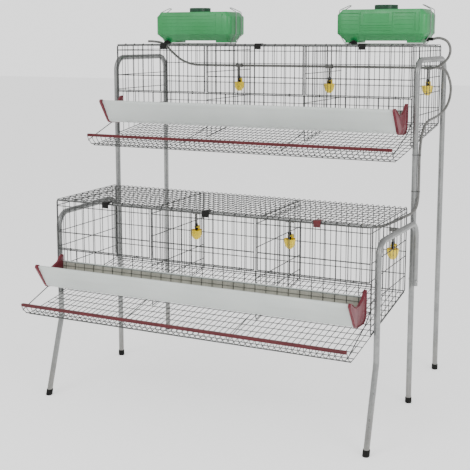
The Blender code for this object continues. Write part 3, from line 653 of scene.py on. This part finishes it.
# Drinkers
drinkerWork = {"tube": ((0.0052, 0.004), (0.0052, -0.051)),
               "tee": {"half": 0.017, "collar": 0.0125, "up": 0.0065, "radius": 0.0082},
               "valve": ((0.0062, -0.046), (0.0074, -0.047), (0.0074, -0.053), (0.0064, -0.0535),
                         (0.0064, -0.0600), (0.0082, -0.0605), (0.0082, -0.0665), (0.0066, -0.067),
                         (0.0060, -0.074), (0.0042, -0.0745), (0.0040, -0.0880)),
               "trigger": 0.0022,
               "cup": ((0.0085, -0.1215), (0.0110, -0.1200), (0.0150, -0.1160), (0.0205, -0.1085),
                       (0.0242, -0.0985), (0.0258, -0.0880), (0.0266, -0.0775), (0.0262, -0.0760),
                       (0.0250, -0.0760), (0.0244, -0.0780), (0.0234, -0.0880), (0.0215, -0.0970),
                       (0.0180, -0.1060), (0.0125, -0.1130), (0.0070, -0.1155))}


def buildDrinker(place, tier):
    node = place + "_" + tier
    low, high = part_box("drinker_" + node)
    x, y, z = (low.x + high.x) / 2, (low.y + high.y) / 2, high.z
    tee = drinkerWork["tee"]
    teeZ = z + tee["up"]
    tube = turnedPiece(drinkerWork["tube"], (x, y, z), 20)
    teeRuns = [([(x - tee["half"], y, teeZ), (x + tee["half"], y, teeZ)], 1),
               ([(x - tee["half"], y, teeZ), (x - tee["collar"], y, teeZ)], 1.15),
               ([(x + tee["collar"], y, teeZ), (x + tee["half"], y, teeZ)], 1.15)]
    pipe = merged([tube, wireWork("tee", teeRuns, tee["radius"], 6)])
    settle(pipe, "dropTube_" + node, "hose", standBody, (), 40)
    neck = turnedPiece(drinkerWork["valve"], (x, y, z), 24)
    triggerRun = ([(x, y, z - 0.088), (x, y - 0.003, z - 0.099)], 1)
    trigger = wireWork("trigger", [triggerRun], drinkerWork["trigger"], 3)
    settle(merged([neck, trigger]), "drinkerValve_" + node, "black", standBody, (), 40)
    cup = [turnedPiece(drinkerWork["cup"], (x, y, z), 32)]
    # the back of the cup rises round the valve
    cup.append(roundBlock((x - 0.0125, y + 0.0115, z - 0.0925),
                          (x + 0.0125, y + 0.0150, z - 0.0560), 0.0016, 2))
    cup.append(roundBlock((x - 0.0105, y - 0.0075, z - 0.0640),
                          (x + 0.0105, y + 0.0135, z - 0.0605), 0.0012, 2))
    for s in (-1, 1):
        cup.append(roundBlock((x + s * 0.0085 - 0.0011, y + 0.002, z - 0.078),
                              (x + s * 0.0085 + 0.0011, y + 0.0130, z - 0.0615), 0.0005, 1))
    settle(merged(cup), "drinkerCup_" + node, "yellow", standBody, ["drinker_" + node], 40)


for tierName in tiers:
    for drinkerPlace in ("left", "middle", "right"):
        buildDrinker(drinkerPlace, tierName)
print("drinkers hung")

# Water tanks, screw caps, cradles and taps
tankWork = {"length": 0.424, "depth": 0.180, "height": 0.152, "corner": 0.024, "drawEnd": 0.034,
            "drawUp": 0.042, "drawSide": 0.036, "shoulder": 0.024, "topIn": 0.0080, "archHalf": 0.1145,
            "archHigh": 0.0095, "rounding": 0.0065, "neck": (0.047, 0.014), "capRadius": 0.0535,
            "capRibs": 40, "cradleWire": 0.0019, "cradleHalf": 0.030}


def buildTank(side):
    low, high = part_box("tank_" + side)
    x, y, base = (low.x + high.x) / 2, (low.y + high.y) / 2, low.z
    hl, hd, h = tankWork["length"] / 2, tankWork["depth"] / 2, tankWork["height"]
    drawEnd, drawUp, corner = tankWork["drawEnd"], tankWork["drawUp"], tankWork["corner"]
    arch, archHigh = tankWork["archHalf"], tankWork["archHigh"]
    drawSide, shoulderIn = tankWork["drawSide"], tankWork["shoulder"]
    bpy.ops.mesh.primitive_cube_add(size=1, location=(x, y, base + archHigh + (h - archHigh) / 2),
                                    scale=(2 * hl, 2 * hd, h - archHigh))
    tank = bpy.context.object
    bpy.ops.object.transform_apply(location=True, rotation=True, scale=True)
    bpy.ops.object.mode_set(mode="EDIT")
    cuts = [((0, 0, base + drawUp), (0, 0, 1)), ((0, 0, base + h - shoulderIn), (0, 0, 1))]
    cuts += [((x + s * (hl - drawEnd), y, 0), (1, 0, 0)) for s in (-1, 1)]
    cuts += [((x + s * arch, y, 0), (1, 0, 0)) for s in (-1, 1)]
    for point, normal in cuts:
        bpy.ops.mesh.select_all(action="SELECT")
        bpy.ops.mesh.bisect(plane_co=point, plane_no=normal)
    # draw the ends and sides in at the bottom, and the top in a little
    bpy.ops.mesh.select_all(action="DESELECT")
    bpy.ops.object.mode_set(mode="OBJECT")
    for vertex in tank.data.vertices:
        if vertex.co.z < base + archHigh + 0.001:
            vertex.co.y = y + math.copysign(hd - drawSide, vertex.co.y - y)
            if abs(vertex.co.x - x) > hl - 0.001:
                vertex.co.x = x + math.copysign(hl - drawEnd + 0.0015, vertex.co.x - x)
    for vertex in tank.data.vertices:
        if vertex.co.z > base + h - 0.001:
            vertex.co.y = y + math.copysign(hd - tankWork["topIn"], vertex.co.y - y)
            if abs(vertex.co.x - x) > hl - 0.001:
                vertex.co.x = x + math.copysign(hl - shoulderIn, vertex.co.x - x)
    # feet each side of the arch
    selectFaces(tank, lambda face: face.normal.z < -0.9 and abs(face.center.x - x) > arch
                and abs(face.center.x - x) < hl - drawEnd and face.center.z < base + archHigh + 0.001)
    bpy.ops.mesh.extrude_region_move(TRANSFORM_OT_translate={"value": (0, 0, -archHigh)})
    bpy.ops.object.mode_set(mode="OBJECT")
    modify(tank, "WELD", merge_threshold=0.0001)
    # round the four standing corners, then every other edge a little
    alone(tank)
    bpy.ops.object.mode_set(mode="EDIT")
    bpy.ops.mesh.select_mode(type="EDGE")
    bpy.ops.mesh.select_all(action="DESELECT")
    bpy.ops.object.mode_set(mode="OBJECT")
    for edge in tank.data.edges:
        a, b = (tank.data.vertices[k].co for k in edge.vertices)
        sideIn = [drawSide if p.z < base + archHigh + 0.001 else 0.0085 for p in (a, b)]
        endIn = [drawEnd if p.z < base + archHigh + 0.001 else shoulderIn for p in (a, b)]
        edge.select = abs(a.z - b.z) > 0.015 and all(
            abs(p.y - y) > hd - inY - 0.0005 and abs(p.x - x) > hl - inX - 0.0005
            for p, inY, inX in zip((a, b), sideIn, endIn))
    bpy.ops.object.mode_set(mode="EDIT")
    bpy.ops.mesh.bevel(offset=corner, segments=5, affect="EDGES")
    bpy.ops.object.mode_set(mode="OBJECT")
    modify(tank, "BEVEL", width=tankWork["rounding"], segments=3, limit_method="ANGLE",
           angle_limit=math.radians(28))
    pieces = [tank]
    # raised ribs on the long sides, and a plain panel on the right tank
    for s in (-1, 1):
        face = y + s * hd

        def rib(x0, x1, z0, z1, proud=0.0016):
            a, b = sorted((face - s * 0.003, face + s * proud))
            pieces.append(roundBlock((x + x0, a, base + z0), (x + x1, b, base + z1), 0.0007, 1))

        if side == "right":
            rib(-0.080, 0.040, 0.0915, 0.1325, 0.0010)
            for x0, x1 in ((-0.0985, -0.0955), (0.0555, 0.0585), (0.158, 0.161), (0.1775, 0.1795)):
                rib(x0, x1, 0.050, 0.138)
            for z0 in (0.0560, 0.0670, 0.0780):
                rib(-0.0920, 0.0520, z0, z0 + 0.0022)
            rib(-0.188, -0.104, 0.1335, 0.1355)
            rib(0.064, 0.152, 0.1335, 0.1355)
            for z0 in (0.062, 0.082, 0.102, 0.118):
                rib(-0.186, -0.104, z0, z0 + 0.0016, 0.0010)
                rib(0.064, 0.152, z0, z0 + 0.0016, 0.0010)
        else:
            for z0 in (0.060, 0.078, 0.096, 0.114, 0.130):
                rib(-0.180, 0.120, z0, z0 + 0.0018, 0.0009)
            rib(0.128, 0.1305, 0.048, 0.140, 0.0012)
            rib(0.165, 0.1672, 0.048, 0.140, 0.0012)
    neckRadius, neckHigh = tankWork["neck"]
    neck = ((neckRadius + 0.004, h - 0.003), (neckRadius + 0.004, h + 0.0014), (neckRadius, h + 0.002),
            (neckRadius, h + neckHigh - 0.001), (neckRadius - 0.001, h + neckHigh),
            (neckRadius - 0.0035, h + neckHigh), (neckRadius - 0.0035, h - 0.002))
    pieces.append(turnedPiece(neck, (x, y, base), 48))
    settle(merged(pieces), "waterTank_" + side, "tank", standBody, ["tank_" + side], 30)

    # Screw cap with gripping ribs
    capLow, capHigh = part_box("tank_cap_" + side)
    ribs = tankWork["capRibs"]
    radius, deep = tankWork["capRadius"] - 0.0012, capHigh.z - capLow.z
    bpy.ops.mesh.primitive_cylinder_add(vertices=2 * ribs, radius=radius, depth=deep, end_fill_type="NGON",
                                        location=(x, y, capLow.z + deep / 2))
    lid = bpy.context.object
    bpy.ops.object.transform_apply(location=True, rotation=True, scale=True)
    order = {face.index: round(math.atan2(face.center.y - y, face.center.x - x) / (math.pi / ribs) + 0.25)
             for face in lid.data.polygons}
    selectFaces(lid, lambda face: abs(face.normal.z) < 0.1 and order[face.index] % 2 == 0)
    bpy.ops.mesh.inset(thickness=0.0006, depth=0.0012, use_individual=True)
    bpy.ops.object.mode_set(mode="OBJECT")
    selectFaces(lid, lambda face: face.normal.z > 0.9)
    bpy.ops.mesh.inset(thickness=0.004, depth=0)
    bpy.ops.mesh.inset(thickness=0.0015, depth=0.0014)
    bpy.ops.mesh.inset(thickness=0.012, depth=0)
    bpy.ops.mesh.inset(thickness=0.0015, depth=-0.0030)
    bpy.ops.object.mode_set(mode="OBJECT")
    for vertex in lid.data.vertices:  # keep within the cap's own height
        vertex.co.z = min(vertex.co.z, capHigh.z)
    selectFaces(lid, lambda face: face.normal.z < -0.9)
    bpy.ops.mesh.inset(thickness=radius - neckRadius - 0.001, depth=0)
    bpy.ops.mesh.inset(thickness=0.0002, depth=-0.0105)
    bpy.ops.object.mode_set(mode="OBJECT")
    settle(lid, "screwCap_" + side, "tankCap", "tank_cap_" + side + "_body",
           ["tank_cap_" + side], 30)

    # Wire cradle over and under the tank
    cradleLow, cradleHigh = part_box("tank_cradle_" + side)
    lowZ, reachY = cradleLow.z + 0.0025, tankWork["cradleHalf"]
    shoulder, peak = base + h - 0.002, base + h + 0.020
    reach = hl + 0.0045
    corners = []
    for sx, sy, order in ((-1, -1, -1), (1, -1, 1), (1, 1, -1), (-1, 1, 1)):
        sideLine = [((x + sx * (hl - 0.026), y + sy * reachY, lowZ), 0.010),
                    ((x + sx * reach, y + sy * reachY, base + 0.044), 0.020),
                    ((x + sx * reach, y + sy * reachY, shoulder), 0.010),
                    ((x + sx * (hl - 0.040), y + sy * reachY * 0.5, peak), 0.013)]
        corners += sideLine[::order]
    cradle = wireWork("cradle", [(roundCorners(corners, 6), 1)], tankWork["cradleWire"], 2, True)
    settle(cradle, "tankCradle_" + side, "tube", standBody, ["tank_cradle_" + side], 60)

    # Tap at the tank's lower end
    tapX, tapY = (x - hl + 0.056 if side == "left" else x - 0.132), y - hd + drawSide
    spout = ([(tapX, tapY - 0.008, base + 0.003), (tapX - 0.020, tapY - 0.008, base + 0.001)], 1)
    tap = [roundBlock((tapX - 0.012, tapY - 0.016, base - 0.006),
                      (tapX + 0.012, tapY + 0.006, base + 0.008), 0.002),
           wireWork("spout", [spout], 0.0048, 4),
           roundBlock((tapX - 0.005, tapY - 0.021, base + 0.004),
                      (tapX + 0.005, tapY - 0.004, base + 0.0115), 0.0015)]
    settle(merged(tap), "tankTap_" + side, "black", standBody, (), 40)


for tankSide in ("left", "right"):
    buildTank(tankSide)
print("tanks filled in")

# Foot plugs and clamp bolts
plugWork = {"profile": ((0.0135, 0.0), (0.0148, 0.0018), (0.0151, 0.0045), (0.0151, 0.0090), (0.0143, 0.0095),
                        (0.0143, 0.0110), (0.0151, 0.0115), (0.0149, 0.0250), (0.0143, 0.0260),
                        (0.0128, 0.0260)),
            "sides": 28, "splayedForward": 0.001}
for side, sign in (("left", -1), ("right", 1)):
    for place in ("tall_front", "tall_rear", "splayed"):
        low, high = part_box("foot_" + place + "_" + side)
        x, y = (low.x + high.x) / 2, (low.y + high.y) / 2
        if place == "splayed":
            y = splayFoot + plugWork["splayedForward"]
        plug = turnedPiece(plugWork["profile"], (x, y, 0.0), plugWork["sides"])
        if place == "splayed":
            for vertex in plug.data.vertices:
                vertex.co.y += lean * vertex.co.z
        settle(plug, "footPlug_" + place + "_" + side, "black", standBody,
               ["foot_" + place + "_" + side], 40)
    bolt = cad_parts["clamp_bolt_" + side]
    bolt.data.materials.clear()
    bolt.data.materials.append(finishes["bolt"])
print("feet and bolts set")

# Studio
bpy.ops.mesh.primitive_plane_add(size=60, location=(0, 0, 0))
ground = bpy.context.object
ground.name = "studioFloor"
groundPaint = bpy.data.materials.new("studioFloorPaint")
groundPaint.use_nodes = True
paint = groundPaint.node_tree.nodes["Principled BSDF"]
paint.inputs["Base Color"].default_value = (0.90, 0.90, 0.90, 1)
paint.inputs["Roughness"].default_value = 0.9
paint.inputs["Emission Color"].default_value = (1.0, 1.0, 1.0, 1)
paint.inputs["Emission Strength"].default_value = 0.75
ground.data.materials.append(groundPaint)
sky = bpy.data.worlds.new("studioSky")
sky.use_nodes = True
skyNodes, skyLinks = sky.node_tree.nodes, sky.node_tree.links
backdrop = skyNodes["Background"]
backdrop.inputs["Color"].default_value = (1.0, 1.0, 1.0, 1)
path = skyNodes.new("ShaderNodeLightPath")
level = skyNodes.new("ShaderNodeMapRange")
level.inputs["To Min"].default_value = 0.85
level.inputs["To Max"].default_value = 1.75
skyLinks.new(path.outputs["Is Camera Ray"], level.inputs["Value"])
skyLinks.new(level.outputs["Result"], backdrop.inputs["Strength"])
bpy.context.scene.world = sky
for lampName, place, energy, size in (("keyLight", (-1.5, -4.5, 4.5), 120, 3.0),
                                      ("fillLight", (4.5, -2.5, 3.0), 90, 2.5)):
    bpy.ops.object.light_add(type="AREA", location=place)
    lamp = bpy.context.object
    lamp.name = lampName
    lamp.data.energy = energy
    lamp.data.size = size
    lamp.rotation_euler = (Vector((0, 0, 0.9)) - Vector(place)).to_track_quat("-Z", "Y").to_euler()
